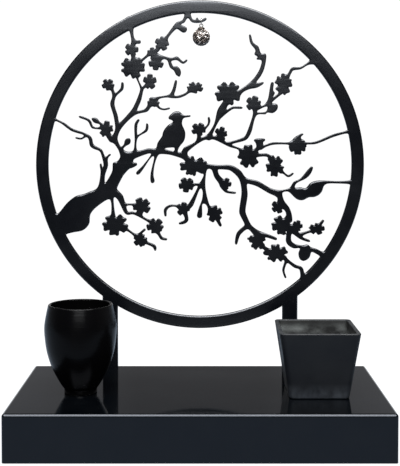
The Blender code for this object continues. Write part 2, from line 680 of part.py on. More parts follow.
def draw_lower_left(plate):
    plate.blossom(-101, -71, 16, 13.5, 48)
    plate.bough((-103, -62, 4), (-105, -38, 4))
    plate.bough((-88, -76, 3), (-77, -84, 3))
    plate.blossom(-71, -89.5, 8.5, 8, 72)
    plate.bough((-77, -84, 2.2), (-72, -82, 2.2), (-66, -77, 2.2))
    plate.bough((-66, -92, 2.6), (-55, -96.5, 3.5), (-53.3, -101, 2))
    plate.bough(
        (-101, -33, 9), (-95.5, -38, 7.5), (-91, -48, 5.5), (-87, -57, 3.4), (-78, -57.5, 2.8),
        (-60, -67, 3),
    )
    plate.bough((-91, -47, 2.2), (-75, -47, 2))
    plate.blossom(-69.5, -49, 11, 10.5, 40)
    plate.blossom(-53.5, -72.5, 10.5, 9.5, 48)
    plate.bough((-50, -80, 3.5), (-46, -87, 3), (-40, -88.5, 1.8))


def blossom_screen(parts, finish):
    """The plate stands upright: its outline is drawn lying flat, and turned up."""
    reach = RING_OUTER_RADIUS / UNIT + 3 * DRAWN_STEP
    low = (BOX_HEIGHT - SHEET - RING_CENTRE_Z) / UNIT - 3 * DRAWN_STEP
    plate = Drawing(reach, low)
    plate.ring_and_posts()
    draw_trunk(plate)
    draw_upper_left(plate)
    draw_top(plate)
    draw_bird(plate)
    draw_middle(plate)
    draw_right(plate)
    draw_lower_middle(plate)
    draw_lower_right(plate)
    draw_lower_left(plate)

    curve = bpy.data.curves.new("blossom_screen", "CURVE")
    curve.dimensions = "2D"
    curve.fill_mode = "BOTH"
    curve.extrude = SCREEN_THICKNESS / 2
    for outline in plate.outlines():
        spline = curve.splines.new("POLY")
        spline.points.add(len(outline) - 1)
        for point, (x, z) in zip(spline.points, outline):
            point.co = (x * UNIT, z * UNIT, 0.0, 1.0)
        spline.use_cyclic_u = True
    screen = bpy.data.objects.new("blossom_screen", curve)
    screen.location = (0.0, SCREEN_Y, RING_CENTRE_Z)
    screen.rotation_euler = (math.radians(90.0), 0.0, 0.0)
    place(screen, "blossom_screen", parts, finish)


# What stands on the box.


def vase_outside():
    """Radius and height up the vase's outer side: a small foot, a full belly, and a
    shoulder that draws in to the mouth."""
    swell = VASE_BELLY_RADIUS - VASE_FOOT_RADIUS
    side = [(VASE_FOOT_RADIUS + out * swell, up * VASE_HEIGHT) for up, out in VASE_SIDE]
    shoulder_radius = 0.4 * VASE_MOUTH_RADIUS + 0.6 * VASE_BELLY_RADIUS
    side.append((shoulder_radius, VASE_SHOULDER * VASE_HEIGHT))
    side.append((VASE_MOUTH_RADIUS, VASE_HEIGHT))
    return side


def vase(parts, finish):
    """Turned and hollow, with a rounded rim. Its wall is as thick all the way up."""
    outside = vase_outside()
    floor = 2 * VASE_WALL
    floor_radius = float(np.interp(floor, *zip(*[(high, radius) for radius, high in outside])))
    inside = [(floor_radius - VASE_WALL, floor)]
    inside += [(radius - VASE_WALL, height) for radius, height in outside if height > floor]
    rim = (VASE_MOUTH_RADIUS - VASE_WALL / 2, VASE_HEIGHT + VASE_WALL / 3)
    profile = [(0.0, floor), *inside, rim, *reversed(outside), (0.0, 0.0)]
    made = turned("vase", profile, VASE_STEPS, parts, finish)
    x = -BOX_LENGTH / 2 + VASE_FROM_LEFT
    y = -BOX_DEPTH / 2 + VASE_FROM_FRONT
    made.location = (x, y, BOX_HEIGHT + FIT)


def square_pot(parts, finish):
    """A shell that tapers to its foot, with rounded upright corners and an even wall."""
    size = (POT_RIM_WIDTH, POT_RIM_WIDTH, POT_HEIGHT)
    x = BOX_LENGTH / 2 - POT_FROM_RIGHT
    y = -BOX_DEPTH / 2 + POT_FROM_FRONT
    pot = block("square_pot", size, (x, y, BOX_HEIGHT + FIT + POT_HEIGHT / 2), parts, finish)
    for vertex in pot.data.vertices:
        if vertex.co.z < 0.0:
            vertex.co.x *= POT_FOOT_WIDTH / POT_RIM_WIDTH
            vertex.co.y *= POT_FOOT_WIDTH / POT_RIM_WIDTH
    remove_faces(pot, Vector((0.0, 0.0, 1.0)))
    mark_edges(pot, lambda along: abs(along.z) > 0.5)
    add_bevel(pot, POT_CORNER_RADIUS, POT_CORNER_SEGMENTS)
    walls = pot.modifiers.new("wall", "SOLIDIFY")
    walls.thickness = POT_WALL
    walls.offset = -1.0
    walls.use_even_offset = True


def rounded(obj):
    """Shade the mesh smooth, but for its real edges."""
    obj.data.shade_smooth()
    obj.data.set_sharp_from_angle(angle=math.radians(40.0))
    return obj


def wire_ring(name, radius, collection, finish=None):
    bpy.ops.mesh.primitive_torus_add(
        major_radius=radius + CHARM_WIRE / 2,
        minor_radius=CHARM_WIRE / 2,
        major_segments=16,
        minor_segments=6,
    )
    return place(rounded(bpy.context.object), name, collection, finish)


def charm(parts, cutters, ball_finish, wire_finish):
    """The ring of wire hangs on the twig's two upper corners, square to the plate. The
    ball's eye hangs on the ring, with its cap below the eye."""
    half_plate = SCREEN_THICKNESS / 2
    half_twig = CHARM_TWIG_WIDTH * UNIT / 2
    inner_radius = math.hypot(half_plate + FIT, 1.5 * half_twig)
    drop = math.sqrt((inner_radius - FIT) ** 2 - half_plate**2)
    ring_z = RING_CENTRE_Z + CHARM_TWIG_Z * UNIT + half_twig - drop
    x = CHARM_TWIG_X * UNIT
    ring = wire_ring("charm_ring", inner_radius, parts, wire_finish)
    ring.rotation_euler = (0.0, math.radians(90.0), 0.0)
    ring.location = (x, SCREEN_Y, ring_z)

    eye_z = ring_z - inner_radius + FIT - CHARM_EYE_RADIUS
    eye = wire_ring("charm_eye", CHARM_EYE_RADIUS, cutters)
    eye.rotation_euler = (math.radians(90.0), 0.0, 0.0)
    eye.location = (x, SCREEN_Y, eye_z)
    cap_top = eye_z - CHARM_EYE_RADIUS - CHARM_WIRE / 2
    cap_overlap = CHARM_BALL_RADIUS - math.sqrt(CHARM_BALL_RADIUS**2 - CHARM_CAP_RADIUS**2)
    cap_depth = CHARM_CAP_HEIGHT + cap_overlap
    bpy.ops.mesh.primitive_cylinder_add(
        vertices=12,
        radius=CHARM_CAP_RADIUS,
        depth=cap_depth,
        location=(x, SCREEN_Y, cap_top - cap_depth / 2),
    )
    cap = place(rounded(bpy.context.object), "charm_cap", cutters)
    bpy.ops.mesh.primitive_uv_sphere_add(
        segments=18,
        ring_count=9,
        radius=CHARM_BALL_RADIUS,
        location=(x, SCREEN_Y, cap_top - CHARM_CAP_HEIGHT - CHARM_BALL_RADIUS),
    )
    ball = place(rounded(bpy.context.object), "charm_ball", parts, ball_finish)
    for piece in (cap, eye):
        combine(ball, as_cutter(piece), "UNION")


def main():
    clear_scene()
    parts = new_collection("cremation_urn")
    cutters = new_collection("cutters")
    gloss_black = material("gloss black lacquer", (0.008, 0.009, 0.011), 0.08)
    satin_black = material("satin black coat", (0.013, 0.014, 0.017), 0.42)
    black_glaze = material("black glaze", (0.012, 0.012, 0.013), 0.30)
    charcoal = material("charcoal stoneware", (0.030, 0.030, 0.032), 0.75)
    plain_steel = material("plain steel", (0.55, 0.55, 0.56), 0.35, 1.0)
    stones = material("clear stones in silver", (0.42, 0.36, 0.33), 0.18, 0.6)
    base_box(parts, cutters, gloss_black)
    base_plate(parts, cutters, satin_black, plain_steel)
    blossom_screen(parts, satin_black)
    vase(parts, black_glaze)
    square_pot(parts, charcoal)
    charm(parts, cutters, stones, plain_steel)


main()
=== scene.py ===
"""The looks of a cremation urn as a memorial set: a gloss black box, a round screen of
blossoming boughs cut from plate, a small vase, a square pot and a sparkling charm. Units
are metres, +Z is up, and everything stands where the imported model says."""
import math
import random

import bmesh
import bpy
import numpy as np
from mathutils import Matrix, Vector


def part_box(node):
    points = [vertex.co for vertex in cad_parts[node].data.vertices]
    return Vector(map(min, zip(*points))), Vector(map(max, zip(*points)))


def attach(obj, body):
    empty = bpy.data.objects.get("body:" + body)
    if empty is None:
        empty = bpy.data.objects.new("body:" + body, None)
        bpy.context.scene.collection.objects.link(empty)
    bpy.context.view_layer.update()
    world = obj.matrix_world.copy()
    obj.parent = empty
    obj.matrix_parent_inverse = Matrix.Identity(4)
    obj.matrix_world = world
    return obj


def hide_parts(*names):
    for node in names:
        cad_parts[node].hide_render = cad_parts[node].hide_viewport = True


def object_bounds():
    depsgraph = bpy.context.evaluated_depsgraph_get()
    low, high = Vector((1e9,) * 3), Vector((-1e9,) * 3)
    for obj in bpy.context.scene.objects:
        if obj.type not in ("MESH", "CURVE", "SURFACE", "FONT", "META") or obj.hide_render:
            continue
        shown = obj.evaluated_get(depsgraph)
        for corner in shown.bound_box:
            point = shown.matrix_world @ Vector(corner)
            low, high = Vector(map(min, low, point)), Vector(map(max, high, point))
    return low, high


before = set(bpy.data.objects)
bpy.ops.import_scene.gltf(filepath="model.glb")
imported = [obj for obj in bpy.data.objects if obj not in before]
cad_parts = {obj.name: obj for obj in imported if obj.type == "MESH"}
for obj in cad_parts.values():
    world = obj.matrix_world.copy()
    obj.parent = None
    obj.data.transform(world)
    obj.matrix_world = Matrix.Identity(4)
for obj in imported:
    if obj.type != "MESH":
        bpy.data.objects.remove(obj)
cad_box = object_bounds()

# The urn is a low box folded from 2 mm sheet, its edges rounded in the press and its
# corners welded and ground flush. It is sprayed with gloss black lacquer inside and out,
# and has two slots in its top for the feet of the screen.
BOX_EDGE_RADIUS = 0.003
BOX_EDGE_SEGMENTS = 8
SHEET = 0.002
CLEARANCE = 0.0003
POST_WIDTH = 0.0185
POST_SPACING = 0.2145
BOX_BLACK = (0.0003, 0.0005, 0.0008)
BOX_HAZE = (0.0008, 0.0010, 0.0013)
LACQUER_TINT = (0.84, 0.89, 1.0)
LACQUER_WAVES = 0.000004


def new_material(name, colour, roughness, metallic=0.0, ior=1.5):
    """A material with one plain shader. Returns it, its node tree and its shader."""
    finish = bpy.data.materials.new(name)
    finish.use_nodes = True
    tree = finish.node_tree
    shader = tree.nodes["Principled BSDF"]
    shader.inputs["Base Color"].default_value = (*colour, 1.0)
    shader.inputs["Roughness"].default_value = roughness
    shader.inputs["Metallic"].default_value = metallic
    shader.inputs["IOR"].default_value = ior
    return finish, tree, shader


def noise(tree, scale, detail=3.0, stretch=(1.0, 1.0, 1.0), offset=(0.0, 0.0, 0.0)):
    """Cloudy noise in the object's own space, with about this many blotches a metre."""
    place = tree.nodes.new("ShaderNodeTexCoord")
    mapping = tree.nodes.new("ShaderNodeMapping")
    mapping.inputs["Scale"].default_value = stretch
    mapping.inputs["Location"].default_value = offset
    made = tree.nodes.new("ShaderNodeTexNoise")
    made.inputs["Scale"].default_value = scale
    made.inputs["Detail"].default_value = detail
    tree.links.new(place.outputs["Object"], mapping.inputs["Vector"])
    tree.links.new(mapping.outputs["Vector"], made.inputs["Vector"])
    return made.outputs["Fac"]


def spread(tree, value, low, high, start=0.3, end=0.7):
    """The value's stretch from start to end, spread from low to high and held beyond."""
    made = tree.nodes.new("ShaderNodeMapRange")
    made.inputs["From Min"].default_value = start
    made.inputs["From Max"].default_value = end
    made.inputs["To Min"].default_value = low
    made.inputs["To Max"].default_value = high
    tree.links.new(value, made.inputs["Value"])
    return made.outputs["Result"]


def blend_colours(tree, share, first, second):
    """One colour over another by a share. Each is a colour or a socket."""
    made = tree.nodes.new("ShaderNodeMix")
    made.data_type = "RGBA"
    tree.links.new(share, made.inputs["Factor"])
    colour_inputs = [socket for socket in made.inputs if socket.type == "RGBA"]
    for socket, colour in zip(colour_inputs, (first, second)):
        if isinstance(colour, tuple):
            socket.default_value = (*colour, 1.0)
        else:
            tree.links.new(colour, socket)
    return next(socket for socket in made.outputs if socket.type == "RGBA")


def relief(tree, shader, height, depth, over=None):
    """Bump the shader's surface by a height, this many metres deep, on top of another bump
    where one is given."""
    made = tree.nodes.new("ShaderNodeBump")
    made.inputs["Strength"].default_value = 1.0
    made.inputs["Distance"].default_value = depth
    tree.links.new(height, made.inputs["Height"])
    if over:
        tree.links.new(over, made.inputs["Normal"])
    tree.links.new(made.outputs["Normal"], shader.inputs["Normal"])
    return made.outputs["Normal"]


def show(name, mesh, finish):
    """An object of its own for a mesh, with its finish."""
    obj = bpy.data.objects.new(name, mesh)
    bpy.context.scene.collection.objects.link(obj)
    mesh.materials.append(finish)
    return obj


def mesh_of(shape, name):
    """The mesh that a bmesh holds."""
    mesh = bpy.data.meshes.new(name)
    bmesh.ops.recalc_face_normals(shape, faces=shape.faces)
    shape.to_mesh(mesh)
    shape.free()
    return mesh


def block(low, high):
    """A box between two corners, as a bmesh."""
    shape = bmesh.new()
    middle = (Vector(low) + Vector(high)) / 2
    size = Vector(high) - Vector(low)
    place = Matrix.Translation(middle) @ Matrix.Diagonal((*size, 1.0))
    bmesh.ops.create_cube(shape, size=1.0, matrix=place)
    return shape


def settle(obj):
    """Apply the object's modifiers, so that its mesh is final."""
    bpy.context.view_layer.update()
    evaluated = obj.evaluated_get(bpy.context.evaluated_depsgraph_get())
    mesh = bpy.data.meshes.new_from_object(evaluated)
    obj.modifiers.clear()
    obj.data = mesh


def cut(obj, cutter_shape, name):
    """Take a bmesh out of the object."""
    cutter = bpy.data.objects.new(name, mesh_of(cutter_shape, name))
    bpy.context.scene.collection.objects.link(cutter)
    modifier = obj.modifiers.new(name, "BOOLEAN")
    modifier.operation = "DIFFERENCE"
    modifier.object = cutter
    modifier.solver = "EXACT"
    settle(obj)
    bpy.data.objects.remove(cutter)


def smooth_shade(obj, angle=35.0):
    """Shade the round stretches smooth and keep the flats flat."""
    obj.data.shade_smooth()
    obj.data.set_sharp_from_angle(angle=math.radians(angle))
    even = obj.modifiers.new("flat faces", "WEIGHTED_NORMAL")
    even.weight = 100
    even.keep_sharp = True


def break_edges(obj, width, angle=30.0):
    """Bevel the object's sharp edges a little."""
    edges = obj.modifiers.new("broken edges", "BEVEL")
    edges.width = width
    edges.segments = 2
    edges.limit_method = "ANGLE"
    edges.angle_limit = math.radians(angle)
    return edges


gloss_black, tree, shader = new_material("gloss black lacquer", BOX_BLACK, 0.07, ior=1.36)
shader.inputs["Specular Tint"].default_value = (*LACQUER_TINT, 1.0)
smears = noise(tree, 14.0, 4.0, stretch=(0.5, 1.6, 1.0))
tree.links.new(spread(tree, smears, 0.045, 0.095), shader.inputs["Roughness"])
haze = spread(tree, noise(tree, 30.0, 5.0, offset=(3.0, 1.0, 0.0)), 0.0, 1.0, 0.35, 0.75)
lacquer_tone = blend_colours(tree, haze, BOX_BLACK, BOX_HAZE)
tree.links.new(lacquer_tone, shader.inputs["Base Color"])
relief(tree, shader, noise(tree, 260.0, 2.0), LACQUER_WAVES)

box_low, box_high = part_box("base_box")
screen_low, screen_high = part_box("blossom_screen")
shape = block(box_low, box_high)
bmesh.ops.recalc_face_normals(shape, faces=shape.faces)
underside = [face for face in shape.faces if face.normal.z < -0.5]
bmesh.ops.delete(shape, geom=underside, context="FACES")
folds = [edge for edge in shape.edges if not edge.is_boundary]
bmesh.ops.bevel(
    shape, geom=folds, offset=BOX_EDGE_RADIUS, segments=BOX_EDGE_SEGMENTS, profile=0.5,
    affect="EDGES",
)
urn = show("urn_box", mesh_of(shape, "urn_box"), gloss_black)
walls = urn.modifiers.new("sheet", "SOLIDIFY")
walls.thickness = SHEET
walls.offset = -1.0
walls.use_even_offset = True
settle(urn)
for side, x in (("left", -POST_SPACING / 2), ("right", POST_SPACING / 2)):
    reach = POST_WIDTH / 2 + CLEARANCE
    low = (x - reach, screen_low.y - CLEARANCE, box_high.z - 3 * SHEET)
    high = (x + reach, screen_high.y + CLEARANCE, box_high.z + SHEET)
    cut(urn, block(low, high), f"{side}_slot")
smooth_shade(urn)
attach(urn, "root")
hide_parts("base_box")

# A ledge of the same sheet is welded round the inside, near the bottom, and carries the
# base plate. Its corners are mitred, and the screws go through it.
LEDGE_WIDTH = 0.016
LEDGE_BROKEN_EDGE = 0.0002
SCREW_HOLE_RADIUS = 0.0022
SCREW_NUMBERS = (1, 2, 3, 4)


def strip(shape, first, second):
    """Faces all round between two closed rows of as many points."""
    faces = []
    for index in range(len(first)):
        after = (index + 1) % len(first)
        corners = (first[index], first[after], second[after], second[index])
        faces.append(shape.faces.new(corners))
    return faces


plate_low, plate_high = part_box("base_plate")
ledge_low = plate_high.z + CLEARANCE
outer = (box_high.x - SHEET, box_high.y - SHEET)
inner = (outer[0] - LEDGE_WIDTH, outer[1] - LEDGE_WIDTH)
shape = bmesh.new()
rings = []
for length, depth in (outer, inner):
    for height in (ledge_low, ledge_low + SHEET):
        corners = ((-length, -depth), (length, -depth), (length, depth), (-length, depth))
        rings.append([shape.verts.new((x, y, height)) for x, y in corners])
outer_low, outer_high, inner_low, inner_high = rings
for first, second in (
    (outer_low, outer_high), (outer_high, inner_high),
    (inner_high, inner_low), (inner_low, outer_low),
):
    strip(shape, first, second)
ledge = show("ledge", mesh_of(shape, "ledge"), gloss_black)
for number in SCREW_NUMBERS:
    low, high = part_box(f"plate_screw_{number}")
    middle = (low + high) / 2
    shape = bmesh.new()
    bmesh.ops.create_cone(
        shape, cap_ends=True, segments=24, radius1=SCREW_HOLE_RADIUS, radius2=SCREW_HOLE_RADIUS,
        depth=4 * SHEET, matrix=Matrix.Translation((middle.x, middle.y, ledge_low)),
    )
    cut(ledge, shape, f"screw_hole_{number}")
break_edges(ledge, LEDGE_BROKEN_EDGE)
smooth_shade(ledge)
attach(ledge, "root")

# The base plate closes the box from below. It is cut from 3 mm sheet, countersunk at its
# corners and powder coated, with the fine grain of baked powder.
POWDER_BLACK = (0.0008, 0.0010, 0.0016)
POWDER_WORN = (0.0018, 0.0021, 0.0028)
POWDER_TINT = (0.92, 0.95, 1.0)
PLATE_ROUGHNESS = 0.50
PLATE_GRAIN = 0.00002
PLATE_BROKEN_EDGE = 0.0003
JOINED_WITHIN = 0.00001


def powder_coat(name, roughness, grain):
    """Satin black powder coat: a fine grain, cloudy gloss and a little dust."""
    finish, tree, shader = new_material(name, POWDER_BLACK, roughness, ior=1.45)
    shader.inputs["Specular Tint"].default_value = (*POWDER_TINT, 1.0)
    clouds = noise(tree, 9.0, 4.0)
    rough = spread(tree, clouds, roughness - 0.05, roughness + 0.06)
    tree.links.new(rough, shader.inputs["Roughness"])
    dust = noise(tree, 55.0, 6.0, offset=(1.0, 4.0, 2.0))
    share = spread(tree, dust, 0.0, 1.0, 0.42, 0.78)
    colour = blend_colours(tree, share, POWDER_BLACK, POWDER_WORN)
    tree.links.new(colour, shader.inputs["Base Color"])
    relief(tree, shader, noise(tree, 1500.0, 2.0), grain)
    return finish


plate_finish = powder_coat("base plate powder coat", PLATE_ROUGHNESS, PLATE_GRAIN)
base_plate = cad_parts["base_plate"]
base_plate.data.materials.clear()
base_plate.data.materials.append(plate_finish)
weld = base_plate.modifiers.new("joined corners", "WELD")
weld.merge_threshold = JOINED_WITHIN
edges = break_edges(base_plate, PLATE_BROKEN_EDGE, 50.0)
edges.harden_normals = True

# Four countersunk screws with cross recesses hold the base plate against the ledge. They
# are of zinc plated steel, with rolled threads.
SCREW_SHANK_RADIUS = 0.0018
SCREW_HEAD_DEPTH = 0.0017
SCREW_HEAD_RIM = 0.0004
SCREW_BROKEN_EDGE = 0.0001
SCREW_THREAD_PITCH = 0.0008
SCREW_STEPS = 32
CROSS_WIDTH = 0.0009
CROSS_LENGTH = 0.0042
CROSS_DEPTH = 0.0012
ZINC = (0.60, 0.59, 0.57)
ZINC_DULLED = (0.44, 0.42, 0.38)

screw_steel, tree, shader = new_material("zinc plated steel", ZINC, 0.32, metallic=1.0)
tint = blend_colours(tree, noise(tree, 300.0, 3.0), ZINC, ZINC_DULLED)
tree.links.new(tint, shader.inputs["Base Color"])
tree.links.new(spread(tree, noise(tree, 700.0, 3.0), 0.25, 0.42), shader.inputs["Roughness"])


def turned(profile, steps):
    """A closed solid of revolution about Z, from radius and height up its outer side. The
    profile starts and ends on the axis."""
    shape = bmesh.new()
    rows = []
    for radius, height in profile:
        if radius < 1e-9:
            rows.append([shape.verts.new((0.0, 0.0, height))])
            continue
        row = []
        for step in range(steps):
            angle = 2 * math.pi * step / steps
            x = radius * math.cos(angle)
            y = radius * math.sin(angle)
            row.append(shape.verts.new((x, y, height)))
        rows.append(row)
    for first, second in zip(rows, rows[1:]):
        for step in range(steps):
            after = (step + 1) % steps
            corners = [first[step % len(first)], first[after % len(first)]]
            corners += [second[after % len(second)], second[step % len(second)]]
            shape.faces.new(list(dict.fromkeys(corners)))
    return shape


for number in SCREW_NUMBERS:
    low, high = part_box(f"plate_screw_{number}")
    middle = (low + high) / 2
    head_radius = (high.x - low.x) / 2
    neck = low.z + SCREW_HEAD_RIM + SCREW_HEAD_DEPTH
    profile = [(0.0, low.z), (head_radius - SCREW_BROKEN_EDGE, low.z)]
    profile += [(head_radius, low.z + SCREW_BROKEN_EDGE), (head_radius, low.z + SCREW_HEAD_RIM)]
    profile.append((SCREW_SHANK_RADIUS, neck))
    tip = high.z - SCREW_SHANK_RADIUS
    height = neck + SCREW_THREAD_PITCH
    while height + SCREW_THREAD_PITCH < tip:
        profile.append((SCREW_SHANK_RADIUS * 0.82, height + SCREW_THREAD_PITCH * 0.4))
        profile.append((SCREW_SHANK_RADIUS, height + SCREW_THREAD_PITCH * 0.8))
        height += SCREW_THREAD_PITCH
    profile += [(SCREW_SHANK_RADIUS * 0.9, tip), (SCREW_SHANK_RADIUS * 0.4, high.z)]
    profile.append((0.0, high.z))
    mesh = mesh_of(turned(profile, SCREW_STEPS), f"screw_{number}")
    fastener = show(f"screw_{number}", mesh, screw_steel)
    for half_x, half_y in ((CROSS_LENGTH, CROSS_WIDTH), (CROSS_WIDTH, CROSS_LENGTH)):
        corner = Vector((half_x / 2, half_y / 2, CROSS_DEPTH))
        foot = Vector((0.0, 0.0, low.z))
        cut(fastener, block(foot - corner, foot + corner), f"recess_{number}")
    fastener.data.transform(Matrix.Translation((middle.x, middle.y, 0.0)))
    smooth_shade(fastener)
    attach(fastener, "root")
    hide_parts(f"plate_screw_{number}")

# The screen is one plate of 5 mm steel, cut by laser: ring, posts, boughs, blossoms and
# bird. Its edges are ground round, least on the thin twigs, before it is powder coated
# satin black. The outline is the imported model's own, run smooth as the cutter leaves it.
RING_OUTER_RADIUS = 0.195
RING_INNER_RADIUS = 0.180
ON_RING = 0.0004
POSTS_BELOW = -0.8 * RING_INNER_RADIUS
OUTLINE_STEP = 0.0011
OUTLINE_MOST_PIECES = 24
EDGE_RADIUS = 0.0021
EDGE_LEAST = 0.0001
EDGE_SHARE = 0.38
EDGE_ROWS = 4
SCREEN_JOINED_WITHIN = 0.000002
SCREEN_ROUGHNESS = 0.22
SCREEN_GRAIN = 0.000008

ring_z = screen_high.z - RING_OUTER_RADIUS
screen_y = (screen_low.y + screen_high.y) / 2
plate_thickness = screen_high.y - screen_low.y


def plate_outlines(mesh, front):
    """The loops along which the plate's front ends, measured from the ring's centre, with
    the metal on their left."""
    def key(index):
        place = mesh.vertices[index].co
        return (round(place.x, 6), round(place.z - ring_z, 6))

    onward = {}
    sides = set()
    for face in mesh.polygons:
        if all(abs(mesh.vertices[index].co.y - front) < 1e-5 for index in face.vertices):
            corners = [key(index) for index in face.vertices]
            sides.update(zip(corners, corners[1:] + corners[:1]))
    for start, end in sides:
        if (end, start) not in sides:
            onward[start] = end
    loops = []
    while onward:
        first, place = onward.popitem()
        loop = [first]
        while place != first:
            loop.append(place)
            place = onward.pop(place)
        loops.append(loop)
    return loops


def ring_radius(point):
    """The radius of the ring's edge that a point lies on, or None."""
    away = math.hypot(*point)
    for radius in (RING_OUTER_RADIUS, RING_INNER_RADIUS):
        if abs(away - radius) < ON_RING:
            return radius
    return None


def on_post(point):
    """Whether a point belongs to a post, low down and outside the ring."""
    return point[1] < POSTS_BELOW and math.hypot(*point) > RING_OUTER_RADIUS + ON_RING / 4


def run_smooth(loop):
    """The loop with more points, on a curve through its own (Catmull and Rom's rule with
    centripetal knots). Along the ring they lie on its circle, and a post stays straight."""
    count = len(loop)
    made = []
    for index in range(count):
        p0, p1, p2, p3 = (np.array(loop[(index + shift) % count]) for shift in (-1, 0, 1, 2))
        span = float(np.hypot(*(p2 - p1)))
        pieces = max(1, min(OUTLINE_MOST_PIECES, round(span / OUTLINE_STEP)))
        circles = (ring_radius(p1), ring_radius(p2))
        straight = on_post(p1) or on_post(p2)
        if straight:
            pieces = 1
        knots = [0.0]
        for first, second in ((p0, p1), (p1, p2), (p2, p3)):
            knots.append(knots[-1] + max(float(np.hypot(*(second - first))), 1e-7) ** 0.5)
        t0, t1, t2, t3 = knots
        for piece in range(pieces):
            t = t1 + (t2 - t1) * piece / pieces
            if circles[0] and circles[0] == circles[1] and not straight:
                point = p1 + (p2 - p1) * piece / pieces
                point = point * circles[0] / np.hypot(*point)
            else:
                a1 = p0 * (t1 - t) / (t1 - t0) + p1 * (t - t0) / (t1 - t0)
                a2 = p1 * (t2 - t) / (t2 - t1) + p2 * (t - t1) / (t2 - t1)
                a3 = p2 * (t3 - t) / (t3 - t2) + p3 * (t - t2) / (t3 - t2)
                b1 = a1 * (t2 - t) / (t2 - t0) + a2 * (t - t0) / (t2 - t0)
                b2 = a2 * (t3 - t) / (t3 - t1) + a3 * (t - t1) / (t3 - t1)
                point = b1 * (t2 - t) / (t2 - t1) + b2 * (t - t1) / (t2 - t1)
            made.append((float(point[0]), float(point[1])))
    return made


def inward(line):
    """The direction into the metal at each point of a loop."""
    along = np.roll(line, -1, axis=0) - np.roll(line, 1, axis=0)
    across = np.stack((-along[:, 1], along[:, 0]), axis=1)
    return across / np.maximum(np.hypot(across[:, 0], across[:, 1]), 1e-9)[:, None]


def room(points, into):
    """At each point, the radius of the largest disc in the metal that touches it."""
    sizes = np.empty(len(points))
    for index, (point, direction) in enumerate(zip(points, into)):
        away = points - point
        ahead = away @ direction
        near = ahead > 1e-7
        sizes[index] = ((away[near] ** 2).sum(axis=1) / (2 * ahead[near])).min()
    return sizes


def cap_of(lines):
    """The flat face between closed lines, as a bmesh."""
    curve = bpy.data.curves.new("screen_face", "CURVE")
    curve.dimensions = "2D"
    curve.fill_mode = "BOTH"
    for line in lines:
        spline = curve.splines.new("POLY")
        spline.points.add(len(line) - 1)
        for point, (x, z) in zip(spline.points, line):
            point.co = (x, z, 0.0, 1.0)
        spline.use_cyclic_u = True
    drawn = bpy.data.objects.new("screen_face", curve)
    bpy.context.scene.collection.objects.link(drawn)
    bpy.context.view_layer.update()
    evaluated = drawn.evaluated_get(bpy.context.evaluated_depsgraph_get())
    flat = bpy.data.meshes.new_from_object(evaluated)
    bpy.data.objects.remove(drawn)
    face = bmesh.new()
    face.from_mesh(flat)
    return face


outlines = plate_outlines(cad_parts["blossom_screen"].data, screen_low.y)
lines = [np.array(run_smooth(loop)) for loop in outlines]
directions = [inward(line) for line in lines]
sizes = room(np.concatenate(lines), np.concatenate(directions))
breaks = np.cumsum([len(line) for line in lines])[:-1]
shape = bmesh.new()
edge_lines = []
for line, into, space in zip(lines, directions, np.split(sizes, breaks)):
    rounding = np.clip(EDGE_SHARE * space, EDGE_LEAST, EDGE_RADIUS)
    rows = []
    for turn in np.linspace(0.0, math.pi / 2, EDGE_ROWS + 1):
        inset = line + into * (rounding * (1 - math.cos(turn)))[:, None]
        drop = plate_thickness / 2 - rounding * (1 - math.sin(turn))
        rows.append((inset, drop))
    edge_lines.append(rows[-1][0])
    rows = [(inset, -drop) for inset, drop in reversed(rows)] + rows
    made = []
    for inset, drop in rows:
        made.append([shape.verts.new((x, z, height)) for (x, z), height in zip(inset, drop)])
    for first, second in zip(made, made[1:]):
        strip(shape, first, second)
for side in (-1.0, 1.0):
    face = cap_of(edge_lines)
    bmesh.ops.translate(face, vec=(0.0, 0.0, side * plate_thickness / 2), verts=face.verts)
    shape.from_mesh(mesh_of(face, "screen_face"))
bmesh.ops.remove_doubles(shape, verts=shape.verts, dist=SCREEN_JOINED_WITHIN)
stood_up = Matrix.Rotation(math.radians(90.0), 4, "X")
upright = Matrix.Translation((0.0, screen_y, ring_z)) @ stood_up
bmesh.ops.transform(shape, matrix=upright, verts=shape.verts)
screen_finish = powder_coat("screen powder coat", SCREEN_ROUGHNESS, SCREEN_GRAIN)
screen = show("blossom_plate", mesh_of(shape, "blossom_plate"), screen_finish)
smooth_shade(screen, 50.0)
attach(screen, "root")
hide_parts("blossom_screen")

# The vase is thrown and turned: a small foot, a full belly and a drawn-in mouth, with a
# satin black glaze inside and out. It stands on a narrow foot ring.
VASE_FOOT_RADIUS = 0.0179
VASE_MOUTH_RADIUS = 0.0350
VASE_WALL = 0.003
VASE_FOOT_RING = 0.003
VASE_FOOT_DEPTH = 0.0012
VASE_FOOT_EDGE = 0.0004
VASE_STEPS = 96
VASE_ROWS = 6
VASE_RIM_ROWS = 9
# How high up the side, as a share of its height, and how far the belly has swelled there.
VASE_SIDE = (
    (0.0, 0.0), (0.045, 0.0), (0.09, 0.14), (0.19, 0.40), (0.32, 0.67), (0.48, 0.88),
    (0.64, 0.98), (0.76, 1.0),
)
VASE_SHOULDER_HEIGHT = 0.88
VASE_SHOULDER_WIDTH = 0.6
VASE_BOWL_RISE = 0.0008
VASE_BOWL_TURN = 0.72
VASE_BOWL_FLAT = 0.4
GLAZE = (0.0006, 0.0006, 0.0008)
GLAZE_POOLED = (0.0012, 0.0011, 0.0011)
THROWING_RINGS = 0.00008
GLAZE_GRAIN = 0.00001

